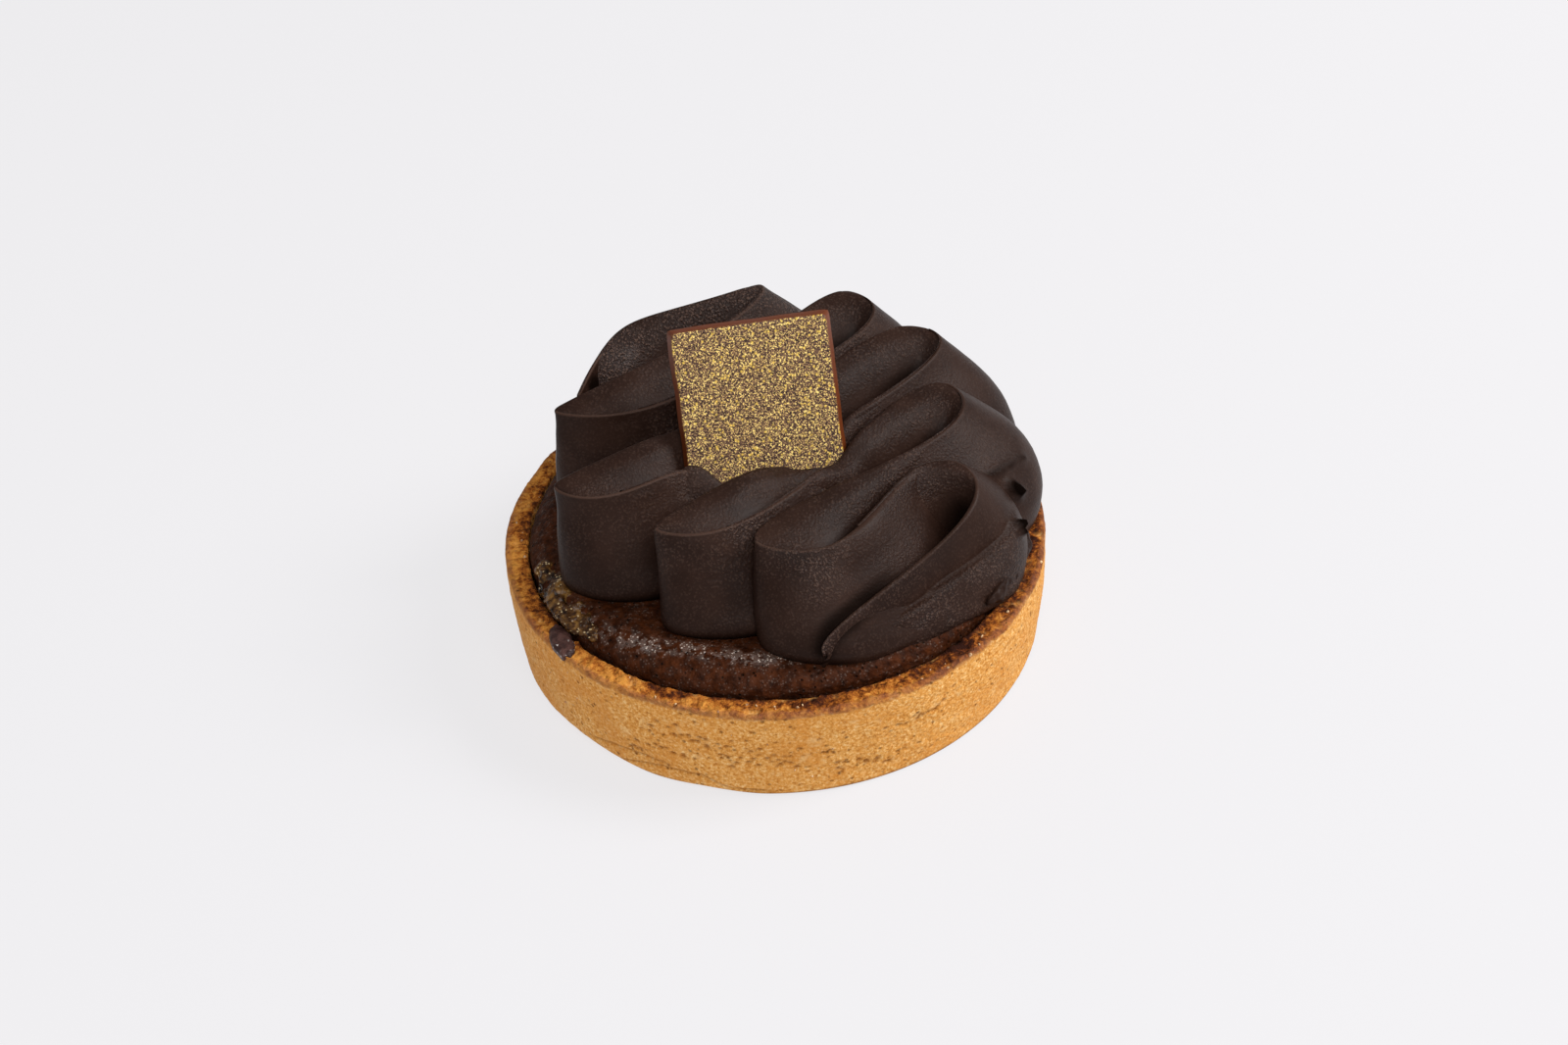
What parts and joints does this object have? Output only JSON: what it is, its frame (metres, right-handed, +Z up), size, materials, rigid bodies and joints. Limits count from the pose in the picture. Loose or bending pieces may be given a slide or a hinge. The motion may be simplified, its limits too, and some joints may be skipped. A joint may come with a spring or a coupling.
{
  "type": "chocolate tart",
  "caption": "Round chocolate tart: low shortcrust case, puffed baked chocolate filling, a zigzag ribbon of piped ganache and a leaning chocolate square.",
  "frame": {"origin": "centre of the crust's flat bottom", "axes": "+Z up out of the tart; +X to the right and -Y towards the viewer who faces the square's front"},
  "size_m": [0.08, 0.08, 0.0482],
  "materials": {
    "shortcrust": "rough, dry and crumbly",
    "baked_chocolate": "fine open crumb, glistening in places",
    "ganache": "satin, smooth with a fine grain near the lips",
    "gold_dust": "chocolate sprayed with gold dust",
    "nut_cream": "lumpy and glistening"
  },
  "bodies": {
    "root": {"crust": "shortcrust", "filling": "baked_chocolate", "ganache": "ganache", "chocolate_square": "gold_dust", "nut_cream": "nut_cream"}
  },
  "joints": []
}
